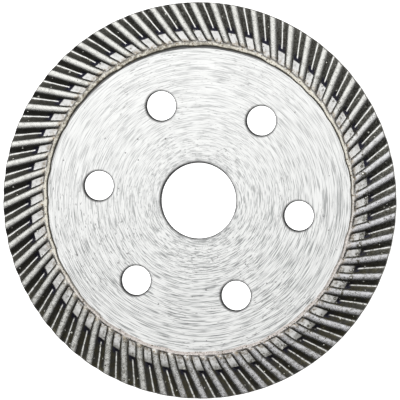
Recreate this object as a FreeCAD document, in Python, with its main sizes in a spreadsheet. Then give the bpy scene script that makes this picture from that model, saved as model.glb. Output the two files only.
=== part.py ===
"""Diamond blade with a continuous turbo rim: a steel core, the sintered rim that grips its toothed edge, and the
diamond crystals that sit in the rim.

The blade lies flat, with the origin on the bore's axis at mid-thickness and +Z along that axis. Lengths are in
millimetres and angles in degrees.
"""

import FreeCAD, Part
import math
import os

import Sketcher

Vector = FreeCAD.Vector
Rotation = FreeCAD.Rotation
Placement = FreeCAD.Placement
Z_AXIS = Vector(0, 0, 1)

doc = FreeCAD.newDocument("DiamondBlade")


# Driving dimensions

DRIVING_SIZES = (
    ("rim_diameter", 105.0, "over the cutting edge"),
    ("rim_depth", 7.5, "rim outside the core's edge, along a radius"),
    ("rim_thickness", 2.4, "over the rib crests of both faces"),
    ("core_thickness", 1.2, "steel disc"),
    ("bore_diameter", 20.0, "arbor bore"),
    ("hole_diameter", 7.8, "each cooling hole"),
    ("hole_circle", 54.0, "circle through the cooling holes' centres"),
    ("hole_count", 6, "cooling holes, evenly spaced"),
    ("hole_turn", -8.3, "first cooling hole, from +X"),
    ("deburr", 0.15, "chamfer of the bore and of the cooling holes"),
    ("rim_lap", 4.3, "rim over the core's faces, inside the core's edge"),
    ("edge_relief", 0.05, "steel ground back on each face where the bond lies on it"),
    ("seat_gap", 0.05, "hairline between the flat face and the bond"),
    ("band_width", 1.1, "plain band at the rim's inner edge"),
    ("band_height", 0.35, "band above the core's face"),
    ("band_slope", 0.35, "run of the slopes on both sides of the band"),
    ("pad_height", 0.15, "bond between two ribs above the core's face"),
    ("edge_cover", 0.1, "bond past the core's edge before the pads drop"),
    ("pad_drop", 0.9, "run of the slope from a pad to the groove's floor"),
    ("web_thickness", 0.15, "bond between the floors of the front and back grooves"),
    ("rib_count", 60, "ribs on each face"),
    ("rib_turn", 1.3, "turn of the front ribs about the axis"),
    ("rib_skew", 27.7, "rib from the radius, at the core's edge"),
    ("rib_crest", 1.7, "flat width of a rib's top"),
    ("rib_flank", 42.5, "slope of a rib's flanks"),
    ("rib_ramp", 1.2, "run of the slope from the band up to the crests"),
    ("edge_break", 0.35, "chamfer of the crests at the cutting edge"),
    ("key_count", 30, "notches round the core's edge"),
    ("key_depth", 2.4, "notch along a radius"),
    ("key_mouth", 1.8, "notch width at the core's edge"),
    ("key_root", 2.6, "notch width at its bottom, wider so that it holds the bond"),
    ("crystal_width", 0.44, "diamond crystal across the corners of its waist"),
    ("crystal_waist", 0.1, "waist under the surface of the bond"),
    ("crystal_proud", 0.05, "how far a crystal stands out of a flank"),
)

sheet = doc.addObject("Spreadsheet::Sheet", "Sizes")
for row, (alias, value, note) in enumerate(DRIVING_SIZES, start=1):
    sheet.set(f"A{row}", alias)
    sheet.set(f"B{row}", str(value))
    sheet.set(f"C{row}", note)
    sheet.setAlias(f"B{row}", alias)
doc.recompute()


def size(alias):
    """One driving dimension as a number."""
    return float(sheet.get(alias))


# Expressions that several features share

RIM_RADIUS = "(Sizes.rim_diameter / 2)"
CORE_RADIUS = f"({RIM_RADIUS} - Sizes.rim_depth)"
CORE_FACE = "(Sizes.core_thickness / 2)"
BOND_SEAT = f"({CORE_FACE} - Sizes.edge_relief)"
CREST = "(Sizes.rim_thickness / 2)"
FLOOR = "(Sizes.web_thickness / 2)"
BAND_TOP = f"({CORE_FACE} + Sizes.band_height)"
PAD_TOP = f"({CORE_FACE} + Sizes.pad_height)"
BAND_INNER = f"({CORE_RADIUS} - Sizes.rim_lap)"
BAND_OUTER = f"({BAND_INNER} + Sizes.band_width)"
RIB_OFFSET = f"({CORE_RADIUS} * sin(Sizes.rib_skew * 1 deg))"
RIB_BASE = f"(Sizes.rib_crest + Sizes.rim_thickness / tan(Sizes.rib_flank * 1 deg))"
RIB_LEAD = "(1.5 * Sizes.rim_lap)"  # the ribs are drawn from this far inside the core's edge, and then trimmed
RIB_START = f"({CORE_RADIUS} * cos(Sizes.rib_skew * 1 deg) - {RIB_LEAD})"
HALF_PITCH = "(180 / Sizes.rib_count)"
WASTE = "(2 * Sizes.rim_thickness)"


# Helpers


def new_body(label):
    body = doc.addObject("PartDesign::Body", label)
    body.Label = label
    return body


def origin_feature(body, role):
    """One of a body's own origin planes or axes."""
    return next(f for f in body.Origin.OriginFeatures if f.Role == role)


def new_sketch(body, name, plane):
    sketch = body.newObject("Sketcher::SketchObject", name)
    sketch.AttachmentSupport = [(origin_feature(body, plane), "")]
    sketch.MapMode = "FlatFace"
    return sketch


def bind_point(sketch, geometry, point, place):
    """Holds a point of a sketch at two expressions."""
    for kind, text in zip(("DistanceX", "DistanceY"), place):
        value = float(sketch.evalExpression(text))
        index = sketch.addConstraint(Sketcher.Constraint(kind, -1, 1, geometry, point, value))
        sketch.setExpression(f"Constraints[{index}]", text)


def add_outline(sketch, corners):
    """Draws a closed outline of straight lines, with each corner bound to its two expressions."""
    first = sketch.GeometryCount
    count = len(corners)
    places = [Vector(*[float(sketch.evalExpression(text)) for text in corner], 0) for corner in corners]
    for i in range(count):
        sketch.addGeometry(Part.LineSegment(places[i], places[(i + 1) % count]), False)
    for i in range(count):
        following = first + (i + 1) % count
        sketch.addConstraint(Sketcher.Constraint("Coincident", first + i, 2, following, 1))
    for i in range(count):
        bind_point(sketch, first + i, 1, corners[i])


def add_circle(sketch, centre, diameter):
    """Draws a circle, with its centre and its diameter bound to expressions."""
    place = Vector(*[float(sketch.evalExpression(text)) for text in centre], 0)
    width = float(sketch.evalExpression(diameter))
    circle = sketch.addGeometry(Part.Circle(place, Z_AXIS, width / 2), False)
    bind_point(sketch, circle, 3, centre)
    index = sketch.addConstraint(Sketcher.Constraint("Diameter", circle, width))
    sketch.setExpression(f"Constraints[{index}]", diameter)


def mirrored_down(corners):
    """The corners followed by their mirror images under the X axis, so that they close."""
    return corners + [(x, f"-{y}") for x, y in reversed(corners)]


def extrude(body, kind, name, sketch, length, symmetric=False):
    feature = body.newObject(kind, name)
    feature.Profile = sketch
    if symmetric:
        feature.SideType = "Symmetric"
    feature.setExpression("Length", length)
    return feature


def revolve(body, kind, name, sketch):
    feature = body.newObject(kind, name)
    feature.Profile = sketch
    feature.ReferenceAxis = (origin_feature(body, "Z_Axis"), [""])
    feature.Angle = 360
    return feature


def polar_pattern(body, name, feature, count):
    pattern = body.newObject("PartDesign::PolarPattern", name)
    pattern.Originals = [feature]
    pattern.Axis = (origin_feature(body, "Z_Axis"), [""])
    pattern.Angle = 360
    pattern.setExpression("Occurrences", count)
    body.Tip = pattern
    return pattern


def add_key_outline(sketch):
    """A dovetail notch of the core's edge, which runs past that edge by the bond that covers it."""
    bottom = f"({CORE_RADIUS} - Sizes.key_depth)"
    top = f"({CORE_RADIUS} + Sizes.edge_cover)"
    corners = [
        (bottom, "(Sizes.key_root / 2)"),
        (CORE_RADIUS, "(Sizes.key_mouth / 2)"),
        (top, "(Sizes.key_mouth / 2)"),
    ]
    add_outline(sketch, mirrored_down(corners))


# Steel core


def circles_of(shape, radius):
    """Names of a shape's circular edges of one radius."""
    names = []
    for number, edge in enumerate(shape.Edges, start=1):
        curve = edge.Curve
        if isinstance(curve, Part.Circle) and abs(curve.Radius - radius) < 1e-6:
            names.append(f"Edge{number}")
    return names


def make_steel_core():
    body = new_body("steel_core")

    disc_sketch = new_sketch(body, "core_disc_sketch", "XY_Plane")
    add_circle(disc_sketch, ("0", "0"), f"2 * {CORE_RADIUS}")
    extrude(body, "PartDesign::Pad", "core_disc", disc_sketch, "Sizes.core_thickness", symmetric=True)

    relief_sketch = new_sketch(body, "edge_relief_sketch", "XZ_Plane")
    start = f"({BAND_INNER} - Sizes.seat_gap)"
    for side in ("", "-"):
        seat = f"{side}{BOND_SEAT}"
        waste = f"{side}{WASTE}"
        add_outline(relief_sketch, [(start, seat), (RIM_RADIUS, seat), (RIM_RADIUS, waste), (start, waste)])
    revolve(body, "PartDesign::Groove", "edge_relief", relief_sketch)

    bore_sketch = new_sketch(body, "bore_sketch", "XY_Plane")
    add_circle(bore_sketch, ("0", "0"), "Sizes.bore_diameter")
    extrude(body, "PartDesign::Pocket", "bore", bore_sketch, WASTE, symmetric=True)

    hole_sketch = new_sketch(body, "cooling_hole_sketch", "XY_Plane")
    turn = "Sizes.hole_turn * 1 deg"
    centre = (f"Sizes.hole_circle / 2 * cos({turn})", f"Sizes.hole_circle / 2 * sin({turn})")
    add_circle(hole_sketch, centre, "Sizes.hole_diameter")
    hole = extrude(body, "PartDesign::Pocket", "cooling_hole", hole_sketch, WASTE, symmetric=True)
    polar_pattern(body, "cooling_holes", hole, "Sizes.hole_count")

    notch_sketch = new_sketch(body, "notch_sketch", "XY_Plane")
    add_key_outline(notch_sketch)
    notch = extrude(body, "PartDesign::Pocket", "notch", notch_sketch, WASTE, symmetric=True)
    toothed = polar_pattern(body, "notches", notch, "Sizes.key_count")
    doc.recompute()

    edges = circles_of(toothed.Shape, size("bore_diameter") / 2)
    edges += circles_of(toothed.Shape, size("hole_diameter") / 2)
    deburred = body.newObject("PartDesign::Chamfer", "deburred_edges")
    deburred.Base = (toothed, edges)
    deburred.setExpression("Size", "Sizes.deburr")
    body.Tip = deburred
    return body


# Turbo rim

# Half of the ring's section with no ribs, from the channel for the core round to the cutting edge
RING_CORNERS = [
    (BAND_INNER, BOND_SEAT),
    (f"({BAND_INNER} + Sizes.band_slope)", BAND_TOP),
    (BAND_OUTER, BAND_TOP),
    (f"({BAND_OUTER} + Sizes.band_slope)", PAD_TOP),
    (f"({CORE_RADIUS} + Sizes.edge_cover)", PAD_TOP),
    (f"({CORE_RADIUS} + Sizes.edge_cover + Sizes.pad_drop)", FLOOR),
    (RIM_RADIUS, FLOOR),
]

# Half of the section that everything on the rim, ribs included, stays within
ENVELOPE_CORNERS = [
    (CORE_RADIUS, BOND_SEAT),
    (BAND_INNER, BOND_SEAT),
    (f"({BAND_INNER} + Sizes.band_slope)", BAND_TOP),
    (BAND_OUTER, BAND_TOP),
    (f"({BAND_OUTER} + Sizes.rib_ramp)", CREST),
    (f"({RIM_RADIUS} - Sizes.edge_break)", CREST),
    (RIM_RADIUS, f"({CREST} - Sizes.edge_break)"),
]


def make_ribs(body, side, name, turn):
    """The ribs of one face. The first rib runs along +X beside the axis, on a line that leans from the radius, and
    is turned about the axis. Its section is a trapezium that stands on the mid-plane."""
    sketch = new_sketch(body, f"{name}_sketch", "YZ_Plane")
    sketch.setExpression(".AttachmentOffset.Rotation.Axis.x", "0")
    sketch.setExpression(".AttachmentOffset.Rotation.Axis.y", "1")
    sketch.setExpression(".AttachmentOffset.Rotation.Axis.z", "0")
    sketch.setExpression(".AttachmentOffset.Rotation.Angle", turn)
    sketch.setExpression(".AttachmentOffset.Base.x", f"{RIB_START} * sin({turn} * 1 deg)")
    sketch.setExpression(".AttachmentOffset.Base.z", f"{RIB_START} * cos({turn} * 1 deg)")
    doc.recompute()
    crest = f"{side}{CREST}"
    corners = [
        (f"-{RIB_OFFSET} - {RIB_BASE} / 2", "0"),
        (f"-{RIB_OFFSET} - Sizes.rib_crest / 2", crest),
        (f"-{RIB_OFFSET} + Sizes.rib_crest / 2", crest),
        (f"-{RIB_OFFSET} + {RIB_BASE} / 2", "0"),
    ]
    add_outline(sketch, corners)
    rib = extrude(body, "PartDesign::Pad", name, sketch, f"{RIM_RADIUS} - {RIB_START}")
    return polar_pattern(body, f"{name}s", rib, "Sizes.rib_count")


def make_bond():
    """The sintered ring with no crystals in it."""
    body = new_body("rim_bond")

    ring_sketch = new_sketch(body, "ring_sketch", "XZ_Plane")
    add_outline(ring_sketch, mirrored_down(RING_CORNERS))
    revolve(body, "PartDesign::Revolution", "plain_ring", ring_sketch)

    make_ribs(body, "", "front_rib", "Sizes.rib_turn")
    make_ribs(body, "-", "back_rib", f"(Sizes.rib_turn + {HALF_PITCH})")

    # What is outside the envelope goes: the ribs' ends and the channel for the core
    trim_sketch = new_sketch(body, "trim_sketch", "XZ_Plane")
    inside = f"({RIB_START} / 2)"
    outside = f"({RIM_RADIUS} * 2)"
    add_outline(trim_sketch, [(inside, WASTE), (outside, WASTE), (outside, f"-{WASTE}"), (inside, f"-{WASTE}")])
    add_outline(trim_sketch, mirrored_down(ENVELOPE_CORNERS))
    revolve(body, "PartDesign::Groove", "trim", trim_sketch)

    key_sketch = new_sketch(body, "key_sketch", "XY_Plane")
    add_key_outline(key_sketch)
    key = extrude(body, "PartDesign::Pad", "key", key_sketch, f"2 * {BOND_SEAT}", symmetric=True)
    polar_pattern(body, "keys", key, "Sizes.key_count")
    return body


# Diamond crystals


def crystal(proud):
    """An octahedron with its top dressed flat, in its own frame: the bond's surface is at height 0."""
    reach = size("crystal_width") / 2
    waist = -size("crystal_waist")
    facet = waist + reach - proud
    compass = [Vector(1, 0, 0), Vector(0, 1, 0), Vector(-1, 0, 0), Vector(0, -1, 0)]
    low = [side * reach + Vector(0, 0, waist) for side in compass]
    top = [side * facet + Vector(0, 0, proud) for side in compass]
    point = Vector(0, 0, waist - reach)
    outlines = [top]
    for i in range(4):
        following = (i + 1) % 4
        outlines.append([point, low[following], low[i]])
        outlines.append([low[i], low[following], top[following], top[i]])
    faces = [Part.Face(Part.makePolygon(outline + outline[:1])) for outline in outlines]
    return Part.Solid(Part.Shell(faces))


def scatter(number, low, high):
    """An evenly spread value between low and high, the same on every run."""
    golden = (math.sqrt(5) - 1) / 2
    return low + (number * golden % 1) * (high - low)


def rib_offset():
    """How far the middle of a rib passes from the axis."""
    core_radius = size("rim_diameter") / 2 - size("rim_depth")
    return core_radius * math.sin(math.radians(size("rib_skew")))


def rib_place(radius, aside, height):
    """A point of the first front rib: its distance from the axis, aside from the rib's middle, and its height."""
    offset = rib_offset() - aside
    return Vector(math.sqrt(radius**2 - offset**2), -offset, height)


def make_face_crystals(label, side):
    """Crystals of one face: two on each rib's crest, dressed flush, and one that stands out of a flank."""
    count = int(size("rib_count"))
    rim_radius = size("rim_diameter") / 2
    core_radius = rim_radius - size("rim_depth")
    crest = size("rim_thickness") / 2
    lean = size("rib_flank")
    room = size("rib_crest") / 2 - size("crystal_width")
    flush = crystal(0)
    standing = crystal(size("crystal_proud"))
    middle = (core_radius + rim_radius) / 2
    inner = core_radius - size("rim_lap") + size("band_width") + size("rib_ramp") + size("crystal_width")
    outer = rim_radius - size("edge_break") - size("crystal_width")
    solids = []
    for rib in range(count):
        turn = size("rib_turn") + 360 / count * rib
        if side < 0:
            turn += 180 / count
        about = Placement(Vector(), Rotation(Z_AXIS, turn))
        spin = Placement(Vector(), Rotation(Z_AXIS, scatter(rib, 0, 90)))
        for part, (low, high) in enumerate(((inner, middle), (middle, outer))):
            number = 2 * rib + part
            aside = scatter(3 * number, -room, room)
            seat = Placement(rib_place(scatter(number, low, high), aside, crest), Rotation())
            solids.append(flush.copy().transformed((about * seat * spin).toMatrix()))
        hand = 1 if rib % 2 else -1
        down = size("rib_crest") / 2 + size("crystal_width")
        height = crest - (down - size("rib_crest") / 2) * math.tan(math.radians(lean))
        place = rib_place(scatter(rib, middle, outer), hand * down, height)
        seat = Placement(place, Rotation(Vector(1, 0, 0), -hand * lean))
        solids.append(standing.copy().transformed((about * seat * spin).toMatrix()))
    if side < 0:
        solids = [solid.mirror(Vector(), Z_AXIS) for solid in solids]
    return add_feature(label, Part.Compound(solids))


def make_edge_crystals(label):
    """Crystals of the cutting edge, one on each front rib and one on each back rib."""
    count = int(size("rib_count"))
    rim_radius = size("rim_diameter") / 2
    height = size("rim_thickness") / 4
    start = -math.degrees(math.asin(rib_offset() / rim_radius)) + size("rib_turn")
    flush = crystal(0)
    solids = []
    for half_step in range(2 * count):
        side = 1 if half_step % 2 == 0 else -1
        about = Placement(Vector(), Rotation(Z_AXIS, start + 180 / count * half_step))
        place = Vector(rim_radius, 0, side * scatter(half_step, height / 2, height))
        seat = Placement(place, Rotation(Vector(0, 1, 0), 90))
        spin = Placement(Vector(), Rotation(Z_AXIS, scatter(half_step, 0, 90)))
        solids.append(flush.copy().transformed((about * seat * spin).toMatrix()))
    return add_feature(label, Part.Compound(solids))


def add_feature(label, shape):
    feature = doc.addObject("Part::Feature", label)
    feature.Label = label
    feature.Shape = shape
    return feature


def make_turbo_rim(bond, crystals):
    """The bond with a pocket for each crystal."""
    seats = doc.addObject("Part::Compound", "crystal_seats")
    seats.Links = crystals
    rim = doc.addObject("Part::Cut", "turbo_rim")
    rim.Label = "turbo_rim"
    rim.Base = bond
    rim.Tool = seats
    return rim


# Checks and files


def check_document():
    """Stops on a failed object, and on a feature that adds or cuts nothing."""
    for item in doc.Objects:
        for bad in ("Invalid", "Error"):
            if bad in item.State:
                raise RuntimeError(f"{item.Label} is {bad}")
    grows = {"PartDesign::Pad": 1, "PartDesign::Pocket": -1, "PartDesign::Groove": -1, "PartDesign::Chamfer": -1}
    for item in doc.Objects:
        base = getattr(item, "BaseFeature", None)
        if item.TypeId in grows and base is not None:
            change = (item.Shape.Volume - base.Shape.Volume) * grows[item.TypeId]
            if change <= 0:
                raise RuntimeError(f"{item.Label} changes nothing")


def write_parts(pieces):
    for piece in pieces:
        if piece.Shape.isNull() or not piece.Shape.isValid():
            raise RuntimeError(f"{piece.Label} has no valid shape")
    os.makedirs("parts", exist_ok=True)
    for piece in pieces:
        piece.Shape.exportStep(f"parts/{piece.Label}.step")
        shape = piece.Shape
        print(f"{piece.Label}: {len(shape.Solids)} solids, {shape.Volume:.1f} mm3, {len(shape.Faces)} faces")


steel_core = make_steel_core()
rim_bond = make_bond()
doc.recompute()
grit_front = make_face_crystals("grit_front", 1)
grit_back = make_face_crystals("grit_back", -1)
grit_edge = make_edge_crystals("grit_edge")
turbo_rim = make_turbo_rim(rim_bond, [grit_front, grit_back, grit_edge])
doc.recompute()
check_document()
write_parts([steel_core, turbo_rim, grit_front, grit_back, grit_edge])
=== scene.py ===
import math
import random

import bmesh
import bpy
from mathutils import Euler, Matrix, Vector, noise


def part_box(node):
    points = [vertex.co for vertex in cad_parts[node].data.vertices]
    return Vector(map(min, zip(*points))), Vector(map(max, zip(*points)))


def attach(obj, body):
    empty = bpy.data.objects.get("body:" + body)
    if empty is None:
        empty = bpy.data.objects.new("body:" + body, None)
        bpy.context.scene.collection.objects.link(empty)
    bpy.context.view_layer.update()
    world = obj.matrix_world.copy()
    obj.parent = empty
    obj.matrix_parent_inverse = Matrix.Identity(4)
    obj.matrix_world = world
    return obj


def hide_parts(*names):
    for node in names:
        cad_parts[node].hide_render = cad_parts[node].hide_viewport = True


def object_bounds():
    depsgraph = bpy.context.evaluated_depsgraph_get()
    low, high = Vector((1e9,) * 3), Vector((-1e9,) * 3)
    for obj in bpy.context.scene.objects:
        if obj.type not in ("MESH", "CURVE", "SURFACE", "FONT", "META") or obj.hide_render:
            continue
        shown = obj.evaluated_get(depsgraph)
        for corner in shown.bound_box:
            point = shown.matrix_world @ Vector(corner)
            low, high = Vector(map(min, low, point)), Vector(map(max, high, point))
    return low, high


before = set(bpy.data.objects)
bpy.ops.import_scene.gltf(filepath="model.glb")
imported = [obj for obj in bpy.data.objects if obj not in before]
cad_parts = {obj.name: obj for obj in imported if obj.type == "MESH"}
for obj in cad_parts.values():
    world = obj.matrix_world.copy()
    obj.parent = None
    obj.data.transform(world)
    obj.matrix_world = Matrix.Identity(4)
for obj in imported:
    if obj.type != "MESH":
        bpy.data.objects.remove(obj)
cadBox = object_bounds()

mm = 0.001
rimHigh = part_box("turbo_rim")[1]
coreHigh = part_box("steel_core")[1]


def deselectAll():
    for obj in bpy.context.selected_objects:
        obj.select_set(False)


def makeActive(obj):
    deselectAll()
    obj.select_set(True)
    bpy.context.view_layer.objects.active = obj


def smoothStep(low, high, value):
    t = min(max((value - low) / (high - low), 0.0), 1.0)
    return t * t * (3 - 2 * t)


def selectEdges(obj, wanted):
    # in edit mode, selects the edges for which wanted(edge) is true
    mesh = bmesh.from_edit_mesh(obj.data)
    for edge in mesh.edges:
        edge.select_set(wanted(edge))
    bmesh.update_edit_mesh(obj.data)


turboRim = {
    "outerRadius": rimHigh[0],
    "crestHeight": rimHigh[2] - 0.008 * mm,   # the crystals' flat facets stay just above
    "coreRadius": coreHigh[0],
    "seatHeight": coreHigh[2] - 0.05 * mm,
    "bandRadius": 40.7 * mm,      # inner edge of the plain band
    "bandWidth": 1.1 * mm,
    "bandHeight": 1.0 * mm,
    "bandSlope": 0.52 * mm,
    "bandLip": 0.2 * mm,          # the band starts to fall this far inside its outer edge
    "bandFall": 0.5 * mm,         # and reaches the pads this far outside it
    "padHeight": 0.65 * mm,
    "padEnd": 45.0 * mm,
    "floorStart": 45.95 * mm,
    "floorHeight": 0.075 * mm,
    "floorWidth": 0.22 * mm,
    "ribCount": 60,
    "ribTurn": math.radians(1.3),
    "ribSkew": math.radians(27.7),
    "crestWidth": 1.75 * mm,
    "crestRound": 0.34 * mm,      # rounding between crest and flank
    "crestCrown": 0.11 * mm,      # how far the crest's sides lie below its middle
    "crownReach": 1.3,            # the crown goes on falling this far out, in half crest widths
    "tipLead": 0.4 * mm,          # the ribs' inner ends rise from this far inside the band's edge
    "tipRamp": 0.7 * mm,          # to this far outside it
    "edgeRound": 0.35 * mm,       # rounding of the crests at the cutting edge
}

# where the rim's mesh has its rows and columns, in millimetres from the place that each is named for
rimSteps = {
    "band": (0.0, 0.08, 0.2, 0.4),
    "tip": (0.0, 0.2, 0.4, 0.6, 0.8, 1.1, 1.4, 1.7, 2.1, 2.5, 2.8),
    "padEnd": (-0.15, 0.0, 0.3, 0.6),
    "groove": (0.0, 0.25, 0.6, 1.1, 1.6, 2.1, 2.7, 3.3, 3.9, 4.5, 5.1, 5.7),
    "edgeShares": (1.0, 0.6, 0.3, 0.1, 0.0),   # shares of the cutting edge's rounding
    "crest": (0.0, 0.35, 0.62),
    "crestEdge": (0.0, 0.22),
    "cuttingEdge": 2,                          # number of rows between front and back
}

rimWear = {
    "bandWander": 0.24 * mm,      # how far the band's inner edge strays
    "bandWaves": ((5, 0.3, 0.25), (11, 1.7, 0.3), (24, 4.0, 0.5), (37, 2.2, 0.3), (61, 0.9, 0.2)),
    "bandLean": 0.3 * mm,         # how far off centre that edge lies
    "bandInward": 0.28 * mm,
    "bandReach": 2.6 * mm,        # its straying dies out over this length
    "backTurn": 2.0,              # the back's edge strays like the front's, turned by this angle
    "tipWay": (-0.2, 0.98),       # the circle of the ribs' inner ends lies off centre this way
    "tipLean": 0.42 * mm,
    "tipInward": 0.25 * mm,
    "tipRadius": 42.4 * mm,       # they are moved most here
    "tipRise": 1.2 * mm,
    "tipFall": 2.6 * mm,
    "unevenness": 0.035 * mm,
    "unevenSize": 1.3 * mm,
    "crestShare": 0.15,           # ground crests keep this share of it
    "crestZone": 0.1 * mm,        # this far below the crests it has its full size
    "onlySinks": 0.3,             # where it has faded to this, it no longer rises
    "sideways": 0.07 * mm,        # how far the ribs' edges stray
    "sidewaysSize": 2.86 * mm,
    "sidewaysPlace": Vector((9, 4, 2)),
}

rimTolerances = {
    "merge": 0.002 * mm,
    "seat": 0.01 * mm,            # lower than this above the steel counts as the rim's seat
    "inside": 0.1 * mm,
    "border": 0.2 * mm,
    "smoothAngle": math.radians(32),
}


def ribLean(radius):
    # a rib's angle to the radius, at this distance from the axis
    return math.asin(turboRim["coreRadius"] * math.sin(turboRim["ribSkew"]) / radius)


def ribAngle(radius):
    # the middle of the first front rib
    return turboRim["ribTurn"] - ribLean(radius)


def halfPitch(radius):
    # half the way from a rib to the next, square to them
    return radius * math.pi / turboRim["ribCount"] * math.cos(ribLean(radius))


def valleyHeight(radius):
    # the band, then the pads between the ribs' inner ends, then the grooves' floor
    r = turboRim
    bandEnd = r["bandRadius"] + r["bandWidth"]
    if radius < r["padEnd"]:
        fall = smoothStep(bandEnd - r["bandLip"], bandEnd + r["bandFall"], radius)
        return r["bandHeight"] + (r["padHeight"] - r["bandHeight"]) * fall
    fall = min((radius - r["padEnd"]) / (r["floorStart"] - r["padEnd"]), 1.0)
    return r["padHeight"] + (r["floorHeight"] - r["padHeight"]) * fall


def crownDrop(aside):
    r = turboRim
    return r["crestCrown"] * min(aside / (r["crestWidth"] / 2), r["crownReach"]) ** 2


def flankSlope(radius):
    # the grooves' floor keeps its width, so the flanks lean more towards the cutting edge
    r = turboRim
    drop = r["crestHeight"] - crownDrop(halfPitch(radius)) - r["floorHeight"]
    return drop / (halfPitch(radius) - (r["floorWidth"] + r["crestWidth"]) / 2)


def flankFoot(radius):
    # how far aside a flank meets the pad or the floor
    drop = turboRim["crestHeight"] - crownDrop(halfPitch(radius)) - valleyHeight(radius)
    return turboRim["crestWidth"] / 2 + drop / flankSlope(radius)


def rimHeight(radius, aside):
    r = turboRim
    past = aside - r["crestWidth"] / 2
    rounded = (past + math.sqrt(past ** 2 + r["crestRound"] ** 2)) / 2
    rib = r["crestHeight"] - rounded * flankSlope(radius) - crownDrop(aside)
    valley = valleyHeight(radius)
    if rib > valley:
        tip = r["bandRadius"] + r["bandWidth"]
        rib = valley + (rib - valley) * smoothStep(tip - r["tipLead"], tip + r["tipRamp"], radius)
    height = max(rib, valley)
    into = radius - (r["outerRadius"] - r["edgeRound"])
    if into > 0:
        drop = r["edgeRound"] - math.sqrt(max(r["edgeRound"] ** 2 - into ** 2, 0))
        height = min(height, r["crestHeight"] - drop)
    return height


def radialStations():
    r = turboRim
    band = r["bandRadius"]
    stations = [band]
    stations += [band + r["bandSlope"] + step * mm for step in rimSteps["band"]]
    stations += [band + r["bandWidth"] + step * mm for step in rimSteps["tip"]]
    stations += [r["padEnd"] + step * mm for step in rimSteps["padEnd"]]
    stations += [r["floorStart"] + step * mm for step in rimSteps["groove"]]
    stations += [r["outerRadius"] - r["edgeRound"] * share for share in rimSteps["edgeShares"]]
    return stations


def asidePlaces(radius):
    # across half a rib: crest, its rounding, flank, and pad or floor
    edge = turboRim["crestWidth"] / 2
    foot = flankFoot(radius)
    places = [step * mm for step in rimSteps["crest"]]
    places += [edge + step * mm for step in rimSteps["crestEdge"]]
    places += [(places[-1] + foot) / 2, foot]
    return places + [(foot + halfPitch(radius)) / 2, halfPitch(radius)]


def makeRibPitch():
    # one front rib and the half valleys beside it, from the steel out to the cutting edge
    stations = radialStations()
    half = len(asidePlaces(turboRim["coreRadius"])) - 1
    deselectAll()
    bpy.ops.mesh.primitive_grid_add(
        x_subdivisions=len(stations) - 1, y_subdivisions=2 * half, size=1)
    pitch = bpy.context.active_object
    pitch.name = "turboRim"
    for vertex in pitch.data.vertices:
        radius = stations[round((vertex.co.x + 0.5) * (len(stations) - 1))]
        step = round((vertex.co.y + 0.5) * 2 * half)
        places = asidePlaces(radius)
        sideways = -places[half - step] if step < half else places[step - half]
        share = sideways / (2 * halfPitch(radius))
        angle = ribAngle(radius) + 2 * math.pi / turboRim["ribCount"] * share
        atSteel = radius == stations[0]
        height = turboRim["seatHeight"] if atSteel else rimHeight(radius, abs(sideways))
        vertex.co = (radius * math.cos(angle), radius * math.sin(angle), height)
    return pitch


def bandShift(radius, angle):
    # long uneven waves in the band's inner edge, the same on every run
    w = rimWear
    total = sum(weight * math.sin(count * angle + phase) for count, phase, weight in w["bandWaves"])
    wander = w["bandWander"] * total + w["bandLean"] * math.sin(angle) - w["bandInward"]
    start = turboRim["bandRadius"]
    return wander * (1 - smoothStep(start, start + w["bandReach"], radius))


def tipShift(radius, angle):
    w = rimWear
    near = smoothStep(w["tipRadius"] - w["tipRise"], w["tipRadius"], radius)
    near *= 1 - smoothStep(w["tipRadius"], w["tipRadius"] + w["tipFall"], radius)
    lean = w["tipWay"][0] * math.cos(angle) + w["tipWay"][1] * math.sin(angle)
    return (w["tipLean"] * lean - w["tipInward"]) * near


def makeUneven(rim):
    # a pressed and sintered face is never quite true
    r = turboRim
    w = rimWear
    aboveSeat = r["seatHeight"] + rimTolerances["seat"]
    for vertex in rim.data.vertices:
        radius = math.hypot(vertex.co.x, vertex.co.y)
        angle = math.atan2(vertex.co.y, vertex.co.x)
        if radius < r["coreRadius"] - rimTolerances["inside"] or abs(vertex.co.z) > aboveSeat:
            turned = angle + (w["backTurn"] if vertex.co.z < 0 else 0.0)
            grow = 1 + (bandShift(radius, turned) + tipShift(radius, angle)) / radius
            vertex.co.x *= grow
            vertex.co.y *= grow
        low = 1 - smoothStep(r["crestHeight"] - w["crestZone"], r["crestHeight"], abs(vertex.co.z))
        bump = noise.noise(vertex.co / w["unevenSize"]) * w["unevenness"]
        bump *= w["crestShare"] + (1 - w["crestShare"]) * low
        if abs(vertex.co.z) > aboveSeat:
            # crests only sink, so that they stay within the rim's thickness
            vertex.co.z += math.copysign(min(bump, 0.0) if low < w["onlySinks"] else bump, vertex.co.z)
        if r["coreRadius"] < radius < r["outerRadius"] - r["edgeRound"]:
            stray = w["sideways"] * noise.noise(vertex.co / w["sidewaysSize"] + w["sidewaysPlace"])
            vertex.co.x -= stray * math.sin(angle)
            vertex.co.y += stray * math.cos(angle)


def atCuttingEdge(edge):
    inner = min(math.hypot(vertex.co.x, vertex.co.y) for vertex in edge.verts)
    return edge.is_boundary and inner > turboRim["outerRadius"] - rimTolerances["border"]


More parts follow.
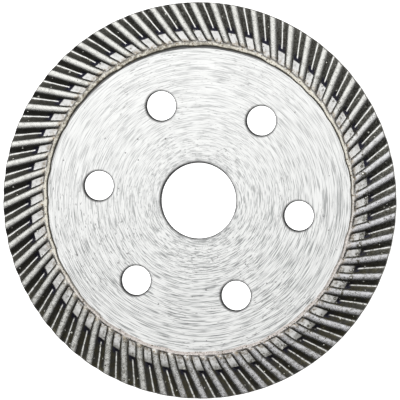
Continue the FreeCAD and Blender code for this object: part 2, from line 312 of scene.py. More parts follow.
def makeTurboRim():
    rim = makeRibPitch()
    turns = turboRim["ribCount"]
    middle = (0, 0, 0)
    bpy.ops.object.mode_set(mode="EDIT")
    bpy.ops.mesh.select_mode(type="VERT")
    bpy.ops.mesh.select_all(action="SELECT")
    # sixty ribs make the front, and a mirrored copy turned by half a rib makes the back
    bpy.ops.mesh.spin(
        steps=turns - 1, dupli=True, angle=2 * math.pi * (turns - 1) / turns,
        center=middle, axis=(0, 0, 1))
    bpy.ops.mesh.select_all(action="SELECT")
    bpy.ops.mesh.remove_doubles(threshold=rimTolerances["merge"])
    bpy.ops.mesh.duplicate()
    bpy.ops.transform.resize(value=(1, 1, -1), center_override=middle)
    bpy.ops.transform.rotate(value=math.pi / turns, orient_axis="Z", center_override=middle)
    bpy.ops.mesh.select_mode(type="EDGE")
    bpy.ops.mesh.select_all(action="DESELECT")
    selectEdges(rim, atCuttingEdge)
    bpy.ops.mesh.bridge_edge_loops(number_cuts=rimSteps["cuttingEdge"])
    # the slot that the steel's edge sits in
    bpy.ops.mesh.select_all(action="DESELECT")
    selectEdges(rim, lambda edge: edge.is_boundary)
    bpy.ops.mesh.extrude_edges_move()
    grow = turboRim["coreRadius"] / turboRim["bandRadius"]
    bpy.ops.transform.resize(value=(grow, grow, 1), center_override=middle)
    bpy.ops.mesh.bridge_edge_loops()
    bpy.ops.mesh.select_all(action="SELECT")
    bpy.ops.mesh.normals_make_consistent(inside=False)
    bpy.ops.object.mode_set(mode="OBJECT")
    makeUneven(rim)
    bpy.ops.object.shade_smooth_by_angle(angle=rimTolerances["smoothAngle"])
    return rim


def addNode(tree, kind, inputs=None, **settings):
    made = tree.nodes.new(kind)
    for name, value in settings.items():
        setattr(made, name, value)
    for name, value in (inputs or {}).items():
        if isinstance(value, bpy.types.NodeSocket):
            tree.links.new(value, made.inputs[name])
        else:
            made.inputs[name].default_value = value
    return made


def doMath(tree, operation, first, second=0.0, clamp=False):
    values = {0: first, 1: second}
    return addNode(tree, "ShaderNodeMath", values, operation=operation, use_clamp=clamp).outputs[0]


def multiply(tree, first, *others):
    for other in others:
        first = doMath(tree, "MULTIPLY", first, other)
    return first


def vectorMath(tree, operation, first, second=(0, 0, 0)):
    return addNode(tree, "ShaderNodeVectorMath", {0: first, 1: second}, operation=operation).outputs


def fadeOver(tree, value, low, high, start=0.0, end=1.0):
    span = {"Value": value, "From Min": low, "From Max": high, "To Min": start, "To Max": end}
    made = addNode(tree, "ShaderNodeMapRange", span, interpolation_type="SMOOTHSTEP")
    return made.outputs["Result"]


def towardSide(tree, disc, direction, *fade):
    # fades over the disc along a direction, in millimetres from its middle
    along = vectorMath(tree, "DOT_PRODUCT", disc["Millimetres"], direction)["Value"]
    return fadeOver(tree, along, *fade)


def layOver(tree, under, over, *masks):
    # a colour laid over another, as far as all the masks let it
    share = multiply(tree, *masks)
    return addNode(tree, "ShaderNodeMix", {0: share, 6: under, 7: over}, data_type="RGBA").outputs[2]


def grey(value):
    return (value, value, value, 1.0)


def newGroup(name, inputs, outputs):
    # inputs are (name, start value) pairs, and one without a start value is a vector
    group = bpy.data.node_groups.new(name, "ShaderNodeTree")
    for label, value in inputs:
        kind = "NodeSocketVector" if value is None else "NodeSocketFloat"
        socket = group.interface.new_socket(name=label, in_out="INPUT", socket_type=kind)
        if value is not None:
            socket.default_value = value
    for label, kind in outputs:
        group.interface.new_socket(name=label, in_out="OUTPUT", socket_type=kind)
    given = group.nodes.new("NodeGroupInput").outputs
    return group, given, group.nodes.new("NodeGroupOutput").inputs


def useGroup(tree, group, inputs):
    return addNode(tree, "ShaderNodeGroup", inputs, node_tree=group).outputs


def makeDiscPlace():
    # where a point lies on the disc: its way round, its radius and its height, in millimetres
    group, given, result = newGroup(
        "discPlace",
        [("Place", None)],
        [
            ("Round", "NodeSocketVector"), ("Radius", "NodeSocketFloat"),
            ("Height", "NodeSocketFloat"), ("Millimetres", "NodeSocketVector"),
        ],
    )
    flat = vectorMath(group, "MULTIPLY", given["Place"], (1, 1, 0))[0]
    length = vectorMath(group, "LENGTH", flat)["Value"]
    parts = addNode(group, "ShaderNodeSeparateXYZ", {0: given["Place"]}).outputs
    height = doMath(group, "ABSOLUTE", parts["Z"])
    scaled = vectorMath(group, "MULTIPLY", given["Place"], (1 / mm, 1 / mm, 1 / mm))[0]
    group.links.new(vectorMath(group, "NORMALIZE", flat)[0], result["Round"])
    group.links.new(multiply(group, length, 1 / mm), result["Radius"])
    group.links.new(multiply(group, height, 1 / mm), result["Height"])
    group.links.new(scaled, result["Millimetres"])
    return group


def makeTurnedGrain():
    # fine lines that run round the axis, as grinding and wiping leave them
    group, given, result = newGroup(
        "turnedGrain",
        [
            ("Round", None), ("Radius", 0.0), ("Lines Round", 20.0), ("Lines Across", 4.0),
            ("Detail", 3.0),
        ],
        [("Grain", "NodeSocketFloat")],
    )
    along = addNode(
        group, "ShaderNodeVectorMath", {0: given["Round"], "Scale": given["Lines Round"]},
        operation="SCALE").outputs[0]
    parts = addNode(group, "ShaderNodeSeparateXYZ", {0: along}).outputs
    across = multiply(group, given["Radius"], given["Lines Across"])
    way = {"X": parts["X"], "Y": parts["Y"], "Z": across}
    place = addNode(group, "ShaderNodeCombineXYZ", way).outputs[0]
    look = {"Vector": place, "Scale": 1.0, "Detail": given["Detail"], "Roughness": 0.6}
    lines = addNode(group, "ShaderNodeTexNoise", look)
    group.links.new(lines.outputs[0], result["Grain"])
    return group


pitSoftness = 0.35            # share of a pit's radius over which its edge fades


def makePits():
    # scattered small round marks
    group, given, result = newGroup(
        "pits",
        [("Millimetres", None), ("Per Millimetre", 1.0), ("Size", 0.3), ("Share", 0.2)],
        [("Pits", "NodeSocketFloat")],
    )
    look = {"Vector": given["Millimetres"], "Scale": given["Per Millimetre"], "Randomness": 1.0}
    cells = addNode(group, "ShaderNodeTexVoronoi", look).outputs
    chance = addNode(group, "ShaderNodeSeparateColor", {0: cells["Color"]}).outputs
    size = multiply(group, chance["Green"], given["Size"])
    out = doMath(group, "DIVIDE", cells["Distance"], size)
    soft = fadeOver(group, doMath(group, "SUBTRACT", 1.0, out, clamp=True), 0.0, pitSoftness)
    chosen = doMath(group, "LESS_THAN", chance["Red"], given["Share"])
    group.links.new(multiply(group, soft, chosen), result["Pits"])
    return group


granuleLook = {
    "crumbsPerGrain": 2.3,
    "crumbs": {"Detail": 4.0, "Roughness": 0.65},
    "grainDepth": 0.6,
    "half": 0.5,              # grains and crumbs give half of the tone each
}


def makeGranules():
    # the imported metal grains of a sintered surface, as a tone and as a relief
    g = granuleLook
    group, given, result = newGroup(
        "granules",
        [("Millimetres", None), ("Per Millimetre", 2.5)],
        [("Tone", "NodeSocketFloat"), ("Relief", "NodeSocketFloat")],
    )
    look = {"Vector": given["Millimetres"], "Scale": given["Per Millimetre"]}
    grains = addNode(group, "ShaderNodeTexVoronoi", look, feature="SMOOTH_F1").outputs
    finer = multiply(group, given["Per Millimetre"], g["crumbsPerGrain"])
    look = {"Vector": given["Millimetres"], "Scale": finer, **g["crumbs"]}
    crumbs = addNode(group, "ShaderNodeTexNoise", look).outputs[0]
    relief = doMath(group, "SUBTRACT", crumbs, multiply(group, grains["Distance"], g["grainDepth"]))
    shade = addNode(group, "ShaderNodeSeparateColor", {0: grains["Color"]}).outputs["Blue"]
    tone = doMath(
        group, "ADD", multiply(group, shade, g["half"]), multiply(group, crumbs, g["half"]))
    group.links.new(tone, result["Tone"])
    group.links.new(relief, result["Relief"])
    return group


def makeHoleRims():
    # 1 at the edges of a ring of round holes, fading out over a width, all in millimetres
    group, given, result = newGroup(
        "holeRims",
        [
            ("Millimetres", None), ("Shift", None), ("Turn", 0.0), ("Spacing", 1.0),
            ("Circle", 27.0), ("Hole", 4.0), ("Width", 0.3),
        ],
        [("Rim", "NodeSocketFloat")],
    )
    moved = vectorMath(group, "ADD", given["Millimetres"], given["Shift"])[0]
    way = addNode(group, "ShaderNodeSeparateXYZ", {0: moved}).outputs
    ground = addNode(group, "ShaderNodeCombineXYZ", {"X": way["X"], "Y": way["Y"]}).outputs[0]
    radius = vectorMath(group, "LENGTH", ground)["Value"]
    angle = doMath(group, "SUBTRACT", doMath(group, "ARCTAN2", way["Y"], way["X"]), given["Turn"])
    halfWay = multiply(group, given["Spacing"], 0.5)
    span = {0: angle, 1: halfWay, 2: multiply(group, halfWay, -1.0)}
    folded = addNode(group, "ShaderNodeMath", span, operation="WRAP").outputs[0]
    out = multiply(group, radius, doMath(group, "COSINE", folded))
    along = doMath(group, "SUBTRACT", out, given["Circle"])
    aside = multiply(group, radius, doMath(group, "SINE", folded))
    flat = addNode(group, "ShaderNodeCombineXYZ", {"X": along, "Y": aside}).outputs[0]
    away = doMath(group, "SUBTRACT", vectorMath(group, "LENGTH", flat)["Value"], given["Hole"])
    past = doMath(group, "DIVIDE", away, given["Width"])
    group.links.new(doMath(group, "SUBTRACT", 1.0, past, clamp=True), result["Rim"])
    return group


discPlace = makeDiscPlace()
holeRims = makeHoleRims()
turnedGrain = makeTurnedGrain()
pits = makePits()
granules = makeGranules()


def startMaterial(name):
    material = bpy.data.materials.new(name)
    material.use_nodes = True
    tree = material.node_tree
    shader = tree.nodes["Principled BSDF"]
    place = addNode(tree, "ShaderNodeTexCoord").outputs["Object"]
    return material, tree, shader, useGroup(tree, discPlace, {"Place": place})


def setMaterial(obj, material):
    if not obj.data.materials:
        obj.data.materials.append(material)
    for index in range(len(obj.material_slots)):
        obj.material_slots[index].material = material


# A fade says where it starts and ends, and then its values there, 0 and 1 if none are given. One
# that runs across the disc has its direction first. Radii, heights and places are in millimetres.

groundSteel = {
    "tone": (0.885, 0.89, 0.88, 1.0),
    "scratchTone": (0.37, 0.38, 0.38, 1.0),
    "pitAndShadeTone": grey(0.13),
    "edgeShadeTone": grey(0.03),
    "wallShadeTone": grey(0.10),
    "roughness": 0.52,
    "roughGrain": 0.16,
    "fineGrain": {"Lines Round": 6.5, "Lines Across": 5.4, "Detail": 1.0},
    "coarseGrain": {"Lines Round": 2.8, "Lines Across": 3.1, "Detail": 2.0},
    "dashes": {"Lines Round": 21.0, "Lines Across": 4.0, "Detail": 1.0},
    "patches": {"Lines Round": 1.6, "Lines Across": 0.11, "Detail": 2.0},
    "spots": {"Per Millimetre": 0.55, "Size": 0.16, "Share": 0.25},
    "spotStrength": 0.75,
    "fineFade": (0.47, 0.67),
    "coarseFade": (0.50, 0.70, 0.0, 0.25),
    "dashFade": (0.61, 0.73),
    "patchFade": (0.38, 0.62),
    "lowerSide": ((0.15, -0.99, 0.0), -22.0, 28.0, 0.5, 1.0),   # the scratches show more there
    "boreFade": (10.0, 13.5, 1.0, 0.0),   # worn by the machine's flange
    "boreGrain": (0.3, 0.6, 0.2, 0.9),
    "bandShadowRadii": (40.2, 40.4, 0.0, 0.85),   # painted shadow in the corner under the rim's band
    "bandShadowSide": ((-0.42, 0.9, 0.0), 16.0, 34.0),
    "bandShadowPatches": (0.35, 0.55, 0.45, 1.0),
    "wallFade": (0.575, 0.595, 1.0, 0.0),   # painted shade on the walls of the bore and the holes
    "bumpStrength": 0.25,
    "bumpGrain": 0.3,
    "bumpDepth": 0.02 * mm,
}

# painted shade at the edges of the bore and of the cooling holes, wider on one side
holeEdges = {
    "Turn": math.radians(-8.3), "Spacing": math.pi / 3, "Circle": 27.0, "Hole": 3.98, "Width": 0.6,
    "Shift": (0.13, 0.08, 0.0),
}
boreEdge = {"Circle": 0.0, "Hole": 10.05, "Width": 0.6, "Shift": (0.14, -0.12, 0.0)}


def makeGroundSteel():
    s = groundSteel
    material, tree, shader, disc = startMaterial("groundSteel")
    millimetres = {"Millimetres": disc["Millimetres"]}
    around = {"Round": disc["Round"], "Radius": disc["Radius"]}
    fine = useGroup(tree, turnedGrain, {**around, **s["fineGrain"]})["Grain"]
    coarse = useGroup(tree, turnedGrain, {**around, **s["coarseGrain"]})["Grain"]
    marks = useGroup(tree, turnedGrain, {**around, **s["dashes"]})["Grain"]
    patches = useGroup(tree, turnedGrain, {**around, **s["patches"]})["Grain"]
    spots = useGroup(tree, pits, {**millimetres, **s["spots"]})["Pits"]
    lower = towardSide(tree, disc, *s["lowerSide"])
    worn = multiply(tree, fadeOver(tree, patches, *s["patchFade"]), lower)
    tone = layOver(tree, s["tone"], s["scratchTone"], fadeOver(tree, fine, *s["fineFade"]), lower)
    tone = layOver(tree, tone, s["scratchTone"], fadeOver(tree, coarse, *s["coarseFade"]), lower)
    tone = layOver(tree, tone, s["pitAndShadeTone"], fadeOver(tree, marks, *s["dashFade"]), worn)
    tone = layOver(tree, tone, s["pitAndShadeTone"], spots, s["spotStrength"])
    nearBore = fadeOver(tree, disc["Radius"], *s["boreFade"])
    tone = layOver(tree, tone, s["scratchTone"], nearBore, worn, fadeOver(tree, fine, *s["boreGrain"]))
    # painted shade round the bore and the cooling holes
    roundHoles = useGroup(tree, holeRims, {**millimetres, **holeEdges})["Rim"]
    roundBore = useGroup(tree, holeRims, {**millimetres, **boreEdge})["Rim"]
    tone = layOver(tree, tone, s["edgeShadeTone"], doMath(tree, "MAXIMUM", roundHoles, roundBore))
    # painted shadow on the steel beside the rim's band, towards the upper left, in patches
    bandShadow = multiply(
        tree, fadeOver(tree, disc["Radius"], *s["bandShadowRadii"]), towardSide(tree, disc, *s["bandShadowSide"]))
    tone = layOver(tree, tone, s["edgeShadeTone"], bandShadow, fadeOver(tree, patches, *s["bandShadowPatches"]))
    # the walls of the bore and the holes darkened with painted shade
    tone = layOver(tree, tone, s["wallShadeTone"], fadeOver(tree, disc["Height"], *s["wallFade"]))
    tree.links.new(tone, shader.inputs["Base Color"])
    rough = doMath(tree, "ADD", s["roughness"], multiply(tree, fine, s["roughGrain"]))
    tree.links.new(rough, shader.inputs["Roughness"])
    shader.inputs["Metallic"].default_value = 1.0
    relief = doMath(tree, "SUBTRACT", multiply(tree, fine, s["bumpGrain"]), spots)
    look = {"Height": relief, "Strength": s["bumpStrength"], "Distance": s["bumpDepth"]}
    tree.links.new(addNode(tree, "ShaderNodeBump", look).outputs[0], shader.inputs["Normal"])
    return material


sinteredBond = {
    "crestTone": (0.445, 0.445, 0.425, 1.0),
    "crestBlueShadeTone": (0.40, 0.40, 0.412, 1.0),
    "padTone": (0.58, 0.58, 0.57, 1.0),
    "bandTone": (0.94, 0.905, 0.80, 1.0),
    "bandPinkTone": (0.95, 0.885, 0.84, 1.0),
    "bandDirtTone": (0.36, 0.33, 0.27, 1.0),
    "stepShadowTone": (0.045, 0.045, 0.085, 1.0),
    "speckTone": (0.20, 0.15, 0.09, 1.0),
    "floorTone": (0.72, 0.72, 0.70, 1.0),
    "flankShadeTone": (0.11, 0.11, 0.10, 1.0),
    "litFlankTone": (0.27, 0.27, 0.245, 1.0),
    "stainAndWarmLightTone": (0.13, 0.118, 0.065, 1.0),
    "edgeShadeTone": (0.20, 0.195, 0.18, 1.0),
    "pitAndShadeTone": (0.09, 0.085, 0.07, 1.0),
    "grains": {"Per Millimetre": 3.4},
    "pores": {"Per Millimetre": 1.8, "Size": 0.45, "Share": 0.25},
    "specks": {"Per Millimetre": 1.9, "Size": 0.6, "Share": 0.55},
    "bubbleRims": {"Per Millimetre": 0.95, "Size": 0.75, "Share": 0.85},
    "bubbleHearts": {"Per Millimetre": 0.95, "Size": 0.32, "Share": 0.85},
    "stains": {"Scale": 0.55, "Detail": 3.0},
    "blotches": {"Scale": 1.1, "Detail": 3.0, "Roughness": 0.6},
    "speckStrength": 0.85,
    "padSmoothness": 0.6,
    "grainRoughness": 0.1,
    "bandRoughness": 0.32,
    "bumpStrength": 0.8,
    "bumpDepth": 0.09 * mm,
}

bondZones = {
    "crest": (0.91, 1.07),              # heights
    "floor": (0.02, 0.12, 1.0, 0.0),    # above the grooves' floor
    "padLevel": (-0.09, -0.03),         # above the pads
    "padWall": (0.03, 0.09, 1.0, 0.0),
    "bandWall": (0.86, 0.95, 1.0, 0.0),
    "stepWall": (0.5, 0.85, 0.9, 0.0),
    "band": (41.4, 42.1, 1.0, 0.0),     # radii
    "nearBand": (42.2, 43.0, 1.0, 0.0),
    "tipsStart": (41.6, 41.9),
    "tipsEnd": (42.4, 43.6, 1.0, 0.0),
    "pads": (44.9, 45.15, 1.0, 0.0),
    "padShade": (43.3, 44.9, 0.0, 0.6),
    "stepStart": (44.9, 45.2),
    "stepEnd": (46.0, 46.9, 1.0, 0.0),
    "bubblesStart": (43.2, 43.9),
    "bubblesEnd": (45.6, 46.6, 1.0, 0.0),
    "cuttingEdge": (52.15, 52.4, 0.0, 0.85),
    "tipReach": 42.0,
}

bondFades = {
    "stainAndWarmLight": (0.40, 0.62),
    "litFlankGrain": (0.2, 0.6),
    "flankGaps": (0.3, 0.65, 0.75, 0.0),    # the gaps between the grains
    "gaps": (0.28, 0.62, 0.85, 0.0),
    "tipGaps": (0.3, 0.6, 1.0, 0.5),
    "stained": (0.36, 0.64, 0.25, 1.0),
    "blotched": (0.48, 0.72),
    "bandBlotches": (0.36, 0.6, 0.1, 1.0),
    "tipBlotches": (0.38, 0.60, 0.05, 0.75),
    "dirtyGaps": (0.0, 1.0, 0.25, 0.72),    # how far each shows on the clean and on the dirty side
    "dirtyBlotches": (0.0, 1.0, 0.3, 0.65),
    "dirtyPores": (0.0, 1.0, 0.25, 0.9),
    "dirtyRelief": (0.0, 1.0, 0.4, 0.7),
    "outsideBand": (0.0, 1.0, 1.0, 0.4),
    "crestRoughness": (0.0, 1.0, 0.40, 0.22),
    "bandMetal": (0.0, 1.0, 1.0, 0.55),
}

bondSides = {
    "dirtAndWarmLight": ((0.25, -0.97, 0.0), -22.0, 38.0),
    "litFlankSide": ((0.64, 0.77, 0.0), 5.0, 45.0),
    "padShade": ((0.45, -0.89, 0.0), -12.0, 30.0),
    "bluerShade": ((0.8, -0.6, 0.0), 12.0, 38.0),
    "pinker": ((0.3, -0.95, 0.0), -5.0, 25.0),
    "bandDirt": ((-0.5, 0.87, 0.0), 20.0, 40.0),
    "bandWall": ((-0.2, 0.98, 0.0), -38.0, 0.0, 0.0, 0.95),
    "bubbly": ((0.96, -0.25, 0.0), 8.0, 38.0, 0.15, 1.0),
}


def movedRadius(tree, disc):
    # the radius that a point near the ribs' inner ends would have if they lay on a true circle
    w = rimWear
    reach = bondZones["tipReach"]
    least = -(w["tipLean"] + w["tipInward"]) / mm
    most = (w["tipLean"] - w["tipInward"]) / mm
    shift = towardSide(tree, disc, (*w["tipWay"], 0.0), -reach, reach, least, most)
    return doMath(tree, "SUBTRACT", disc["Radius"], shift)


def paintFlanks(tree, disc, grainTone, stains, dirtAndWarmLight):
    # the ribs' flanks, painted near-black as shade, and, behind the pads, the step down to the grooves,
    # painted with shadow
    s = sinteredBond
    z = bondZones
    f = bondFades
    # painted light: the flanks lighter towards the upper right, in patches
    litFlankSide = towardSide(tree, disc, *bondSides["litFlankSide"])
    # brown patches on the flanks towards the bottom, partly stains and partly painted warm light
    stainAndWarmLight = fadeOver(tree, stains, *f["stainAndWarmLight"])
    tone = layOver(tree, s["flankShadeTone"], s["stainAndWarmLightTone"], stainAndWarmLight, dirtAndWarmLight)
    tone = layOver(tree, tone, s["litFlankTone"], litFlankSide, fadeOver(tree, grainTone, *f["litFlankGrain"]))
    tone = layOver(tree, tone, s["pitAndShadeTone"], fadeOver(tree, grainTone, *f["flankGaps"]))
    # painted shadow on the step down from the pads to the grooves' floor
    pastPads = fadeOver(tree, disc["Radius"], *z["stepStart"])
    beforeFloor = fadeOver(tree, disc["Radius"], *z["stepEnd"])
    low = fadeOver(tree, disc["Height"], *z["stepWall"])
    return layOver(tree, tone, s["stepShadowTone"], pastPads, beforeFloor, low)


def paintBand(tree, disc, blotches):
    s = sinteredBond
    pinker = towardSide(tree, disc, *bondSides["pinker"])
    dirt = fadeOver(tree, blotches, *bondFades["bandBlotches"])
    dirtSide = towardSide(tree, disc, *bondSides["bandDirt"])
    tone = layOver(tree, s["bandTone"], s["bandPinkTone"], pinker)
    return layOver(tree, tone, s["bandDirtTone"], dirt, dirtSide)


def makeSinteredBond():
    s = sinteredBond
    z = bondZones
    f = bondFades
    material, tree, shader, disc = startMaterial("sinteredBond")
    height = disc["Height"]
    radius = disc["Radius"]
    millimetres = {"Millimetres": disc["Millimetres"]}
    grain = useGroup(tree, granules, {**millimetres, **s["grains"]})
    pores = useGroup(tree, pits, {**millimetres, **s["pores"]})["Pits"]
    specks = useGroup(tree, pits, {**millimetres, **s["specks"]})["Pits"]
    bubbleRims = useGroup(tree, pits, {**millimetres, **s["bubbleRims"]})["Pits"]
    bubbleHearts = useGroup(tree, pits, {**millimetres, **s["bubbleHearts"]})["Pits"]
    vector = {"Vector": disc["Millimetres"]}
    stains = addNode(tree, "ShaderNodeTexNoise", {**vector, **s["stains"]}).outputs[0]
    blotches = addNode(tree, "ShaderNodeTexNoise", {**vector, **s["blotches"]}).outputs[0]
    # towards the bottom: more dirt, and on the flanks painted warm light
    dirtAndWarmLight = towardSide(tree, disc, *bondSides["dirtAndWarmLight"])

    onCrest = fadeOver(tree, height, *z["crest"])
    aboveFloor = doMath(tree, "SUBTRACT", height, turboRim["floorHeight"] / mm)
    onFloor = fadeOver(tree, aboveFloor, *z["floor"])
    tipRadius = movedRadius(tree, disc)
    inBand = fadeOver(tree, tipRadius, *z["band"])
    nearBand = fadeOver(tree, tipRadius, *z["nearBand"])
    abovePads = doMath(tree, "SUBTRACT", height, turboRim["padHeight"] / mm)
    padWall = fadeOver(tree, abovePads, *z["padWall"])
    onPad = multiply(
        tree, fadeOver(tree, radius, *z["pads"]), fadeOver(tree, abovePads, *z["padLevel"]),
        doMath(tree, "MAXIMUM", padWall, nearBand))

    # the colours of flanks, grooves, pads, crests and band, with painted shade on flanks, steps, pads,
    # crests and the band's wall
    tone = layOver(tree, paintFlanks(tree, disc, grain["Tone"], stains, dirtAndWarmLight), s["floorTone"], onFloor)
    padShade = multiply(
        tree, fadeOver(tree, radius, *z["padShade"]), towardSide(tree, disc, *bondSides["padShade"]))
    tone = layOver(tree, tone, layOver(tree, s["padTone"], s["pitAndShadeTone"], padShade), onPad)
    # painted shade: the crests darker and bluer towards the lower right
    bluerShade = towardSide(tree, disc, *bondSides["bluerShade"])
    tone = layOver(tree, tone, layOver(tree, s["crestTone"], s["crestBlueShadeTone"], bluerShade), onCrest)
    tone = layOver(tree, tone, paintBand(tree, disc, blotches), inBand)
    # painted shade on the band's inner wall, fading out towards the bottom
    onBandWall = multiply(tree, inBand, fadeOver(tree, height, *z["bandWall"]))
    tone = layOver(tree, tone, s["pitAndShadeTone"], onBandWall, towardSide(tree, disc, *bondSides["bandWall"]))
    tone = layOver(tree, tone, s["speckTone"], specks, nearBand, s["speckStrength"])

    # dirt: between the grains, at the ribs' inner ends, in blotches and in pores
    outsideBand = fadeOver(tree, inBand, *f["outsideBand"])
    between = fadeOver(tree, grain["Tone"], *f["gaps"])
    soiled = multiply(
        tree, fadeOver(tree, dirtAndWarmLight, *f["dirtyGaps"]), fadeOver(tree, stains, *f["stained"]))
    tone = layOver(tree, tone, s["pitAndShadeTone"], between, soiled, outsideBand)
    atTips = multiply(
        tree, fadeOver(tree, tipRadius, *z["tipsStart"]), fadeOver(tree, tipRadius, *z["tipsEnd"]))
    tipDirt = multiply(
        tree, fadeOver(tree, blotches, *f["tipBlotches"]), fadeOver(tree, grain["Tone"], *f["tipGaps"]))
    tone = layOver(tree, tone, s["speckTone"], atTips, tipDirt)
    blotched = multiply(
        tree, fadeOver(tree, blotches, *f["blotched"]), fadeOver(tree, dirtAndWarmLight, *f["dirtyBlotches"]))
    tone = layOver(tree, tone, s["pitAndShadeTone"], blotched, outsideBand)
    tone = layOver(tree, tone, s["pitAndShadeTone"], pores, fadeOver(tree, dirtAndWarmLight, *f["dirtyPores"]))

    # burst bubbles on the pads, and painted shade on the worn, rounded cutting edge
    bubbly = multiply(
        tree, fadeOver(tree, radius, *z["bubblesStart"]), fadeOver(tree, radius, *z["bubblesEnd"]),
        towardSide(tree, disc, *bondSides["bubbly"]))
    tone = layOver(tree, tone, s["pitAndShadeTone"], bubbly, bubbleRims)
    tone = layOver(tree, tone, s["padTone"], bubbly, bubbleHearts)
    tone = layOver(tree, tone, s["edgeShadeTone"], fadeOver(tree, radius, *z["cuttingEdge"]))
    tree.links.new(tone, shader.inputs["Base Color"])

    # crests are rubbed smooth, and the band is dull
    grained = multiply(tree, grain["Tone"], s["grainRoughness"])
    rough = doMath(tree, "ADD", fadeOver(tree, onCrest, *f["crestRoughness"]), grained)
    rough = doMath(tree, "ADD", rough, multiply(tree, inBand, s["bandRoughness"]))
    tree.links.new(rough, shader.inputs["Roughness"])
    tree.links.new(fadeOver(tree, inBand, *f["bandMetal"]), shader.inputs["Metallic"])
    smooth = doMath(tree, "MAXIMUM", onFloor, multiply(tree, onPad, s["padSmoothness"]))
    coarse = multiply(
        tree, doMath(tree, "SUBTRACT", 1.0, smooth), fadeOver(tree, dirtAndWarmLight, *f["dirtyRelief"]))
    relief = multiply(tree, doMath(tree, "SUBTRACT", grain["Relief"], pores), coarse)
    look = {"Height": relief, "Strength": s["bumpStrength"], "Distance": s["bumpDepth"]}
    tree.links.new(addNode(tree, "ShaderNodeBump", look).outputs[0], shader.inputs["Normal"])
    return material


diamondGrit = {
    "paleTone": (0.88, 0.88, 0.80, 1.0),
    "darkTone": (0.16, 0.15, 0.12, 1.0),
    "perMillimetre": 1.4,
    "darkShare": (0.3, 0.6),
    "roughness": 0.18,
    "refraction": 2.2,
}


def makeDiamondGrit():
    g = diamondGrit
    material, tree, shader, disc = startMaterial("diamondGrit")
    look = {"Vector": disc["Millimetres"], "Scale": g["perMillimetre"]}
    cells = addNode(tree, "ShaderNodeTexVoronoi", look).outputs["Color"]
    chance = addNode(tree, "ShaderNodeSeparateColor", {0: cells}).outputs["Red"]
    tone = layOver(tree, g["paleTone"], g["darkTone"], fadeOver(tree, chance, *g["darkShare"]))
    tree.links.new(tone, shader.inputs["Base Color"])
    shader.inputs["Roughness"].default_value = g["roughness"]
    shader.inputs["IOR"].default_value = g["refraction"]
    return material


looseGrit = {
    "count": 80,                  # on each face
    "crowded": (-7, 12),          # half of them lie by these ribs
    "padShare": 0.6,              # the rest lie in the grooves
    "padRadii": (44.0, 45.0),
    "grooveRadii": (46.4, 51.8),
    "aside": (0.62, 0.98),        # share of the way from a rib's middle to the valley's
    "size": (0.2 * mm, 0.38 * mm),
    "squash": (0.7, 1.0),
    "bevel": 0.16,
    "sink": 0.35,                 # share of a crystal that lies in the bond
    "fullTurn": 6.28,
    "seed": 11,
}


def makeFirstCrystal():
    deselectAll()
    bpy.ops.mesh.primitive_ico_sphere_add(subdivisions=1, radius=1.0)
    bpy.ops.object.mode_set(mode="EDIT")
    bpy.ops.mesh.select_all(action="SELECT")
    bpy.ops.mesh.bevel(offset=looseGrit["bevel"], segments=1, affect="VERTICES")
    bpy.ops.object.mode_set(mode="OBJECT")
    return bpy.context.active_object


def copyCrystal(first, side, rib):
    # a crystal of random size and turn, somewhere beside this rib
    g = looseGrit
    onPad = random.random() < g["padShare"]
    radius = random.uniform(*g["padRadii"] if onPad else g["grooveRadii"]) * mm
    reach = halfPitch(radius)
    aside = random.choice((-1, 1)) * random.uniform(*g["aside"]) * reach
    share = aside / (2 * reach) + (0.5 if side < 0 else 0.0)
    angle = ribAngle(radius) + 2 * math.pi / turboRim["ribCount"] * (rib + share)
    size = random.uniform(*g["size"])
    height = rimHeight(radius, abs(aside)) + size * (1 - 2 * g["sink"])
    place = Vector((radius * math.cos(angle), radius * math.sin(angle), side * height))
    turned = Euler([random.uniform(0, g["fullTurn"]) for _ in range(3)]).to_matrix().to_4x4()
    width = size * random.uniform(*g["squash"])
    depth = size * random.uniform(*g["squash"])
    squash = Matrix.Diagonal((size, width, depth, 1))
    copy = first.copy()
    copy.data = first.data.copy()
    copy.data.transform(Matrix.Translation(place) @ turned @ squash)
    bpy.context.collection.objects.link(copy)
    return copy


def makeLooseGrit():
    g = looseGrit
    random.seed(g["seed"])
    first = makeFirstCrystal()
    copies = []
    for side in (1, -1):
        for number in range(g["count"]):
            crowded = number % 2 == 1
            rib = random.randrange(*g["crowded"]) if crowded else random.randrange(turboRim["ribCount"])
            copies.append(copyCrystal(first, side, rib))
    bpy.data.objects.remove(first)
    makeActive(copies[0])
    for copy in copies:
        copy.select_set(True)
    bpy.ops.object.join()
    copies[0].name = "looseGrit"
    return copies[0]


studio = {
    "cameraTilt": (math.radians(8.0), math.radians(1.6)),
    "cameraDistance": 1.2,
    "cameraClip": (0.05, 20.0),
    "frameWidth": 0.10592,        # metres that the frame takes in at the blade
    "aimRight": 0.000278,         # the blade's centre is this far from the frame's
    "aimUp": 0.000143,
    "sensor": 36.0,
    "floorSize": 4.0,
    "floorGap": 0.02 * mm,
    "floorTone": 0.9,
    "floorRoughness": 0.9,
    "floorGlow": 1.0,
    "skySide": (-0.2, 0.3, 0.93),     # the brightest part of the surroundings
    "skyFade": (0.5, 0.93),
    "skyRise": (0.3, 0.75),
    "sky": 1.157,
    "horizon": 0.06,
    "softboxPlace": (-0.10, 0.17, 0.35),
    "softboxSize": (0.36, 0.36),
    "softboxPower": 0.525,
    "cardPlace": (0.48, 0.02, 0.30),  # a small card on the right
    "cardSize": (0.3, 0.3),
    "cardPower": 0.15,
}


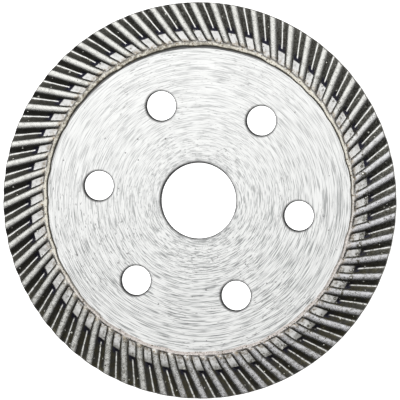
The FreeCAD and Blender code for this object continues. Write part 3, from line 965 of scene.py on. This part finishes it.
def makeCamera():
    tiltX, tiltY = studio["cameraTilt"]
    toward = Vector((math.sin(tiltX), math.sin(tiltY), 0.0))
    toward.z = math.sqrt(1 - toward.length_squared)
    right = Vector((0, 1, 0)).cross(toward).normalized()
    up = toward.cross(right)
    turned = Matrix((right, up, toward)).transposed().to_4x4()
    place = toward * studio["cameraDistance"] + right * studio["aimRight"] + up * studio["aimUp"]
    data = bpy.data.cameras.new("studioCamera")
    data.sensor_width = studio["sensor"]
    data.lens = studio["sensor"] * studio["cameraDistance"] / studio["frameWidth"]
    data.clip_start, data.clip_end = studio["cameraClip"]
    camera = bpy.data.objects.new("studioCamera", data)
    camera.matrix_world = Matrix.Translation(place) @ turned
    bpy.context.collection.objects.link(camera)
    bpy.context.scene.camera = camera


def makeLight(name, place, aim, size, power):
    data = bpy.data.lights.new(name, "AREA")
    data.shape = "RECTANGLE"
    data.size, data.size_y = size
    data.energy = power
    light = bpy.data.objects.new(name, data)
    light.location = place
    light.rotation_euler = (Vector(aim) - Vector(place)).to_track_quat("-Z", "Y").to_euler()
    light.visible_camera = False
    bpy.context.collection.objects.link(light)


def makeFloor():
    deselectAll()
    level = cadBox[0][2] - studio["floorGap"]
    bpy.ops.mesh.primitive_plane_add(size=studio["floorSize"], location=(0, 0, level))
    floor = bpy.context.active_object
    floor.name = "studioFloor"
    material = bpy.data.materials.new("paleFloor")
    material.use_nodes = True
    shader = material.node_tree.nodes["Principled BSDF"]
    shader.inputs["Base Color"].default_value = grey(studio["floorTone"])
    shader.inputs["Roughness"].default_value = studio["floorRoughness"]
    shader.inputs["Emission Color"].default_value = grey(1.0)
    shader.inputs["Emission Strength"].default_value = studio["floorGlow"]
    setMaterial(floor, material)


def makeWorld():
    # bright overhead on one side and dark round the horizon
    world = bpy.data.worlds.new("paleStudio")
    bpy.context.scene.world = world
    world.use_nodes = True
    tree = world.node_tree
    out = tree.nodes["Background"]
    out.inputs["Color"].default_value = grey(1.0)
    place = addNode(tree, "ShaderNodeTexCoord").outputs["Generated"]
    rise = addNode(tree, "ShaderNodeSeparateXYZ", {0: place}).outputs["Z"]
    side = vectorMath(tree, "DOT_PRODUCT", place, studio["skySide"])["Value"]
    glow = multiply(
        tree, fadeOver(tree, side, *studio["skyFade"]), fadeOver(tree, rise, *studio["skyRise"]))
    soft = fadeOver(tree, glow, 0.0, 1.0, studio["horizon"], studio["sky"])
    rays = addNode(tree, "ShaderNodeLightPath").outputs["Is Camera Ray"]
    strength = addNode(tree, "ShaderNodeMix", {0: rays, 2: soft, 3: 1.0}).outputs[0]
    tree.links.new(strength, out.inputs["Strength"])


def makeStudio():
    makeCamera()
    makeFloor()
    makeWorld()
    x, y, z = studio["softboxPlace"]
    makeLight("softbox", (x, y, z), (x, y, 0.0), studio["softboxSize"], studio["softboxPower"])
    makeLight("sideCard", studio["cardPlace"], (0, 0, 0), studio["cardSize"], studio["cardPower"])
    bpy.context.scene.view_settings.view_transform = "Standard"


turboRimPiece = makeTurboRim()
setMaterial(turboRimPiece, makeSinteredBond())
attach(turboRimPiece, "root")
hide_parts("turbo_rim")
print("turbo rim made:", len(turboRimPiece.data.polygons), "faces")

setMaterial(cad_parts["steel_core"], makeGroundSteel())
gritMaterial = makeDiamondGrit()
for name in ("grit_front", "grit_back", "grit_edge"):
    setMaterial(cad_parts[name], gritMaterial)
print("steel core and crystals finished")

looseGritPiece = makeLooseGrit()
setMaterial(looseGritPiece, gritMaterial)
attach(looseGritPiece, "root")
print("loose crystals made:", len(looseGritPiece.data.polygons), "faces")

makeStudio()
print("studio made")
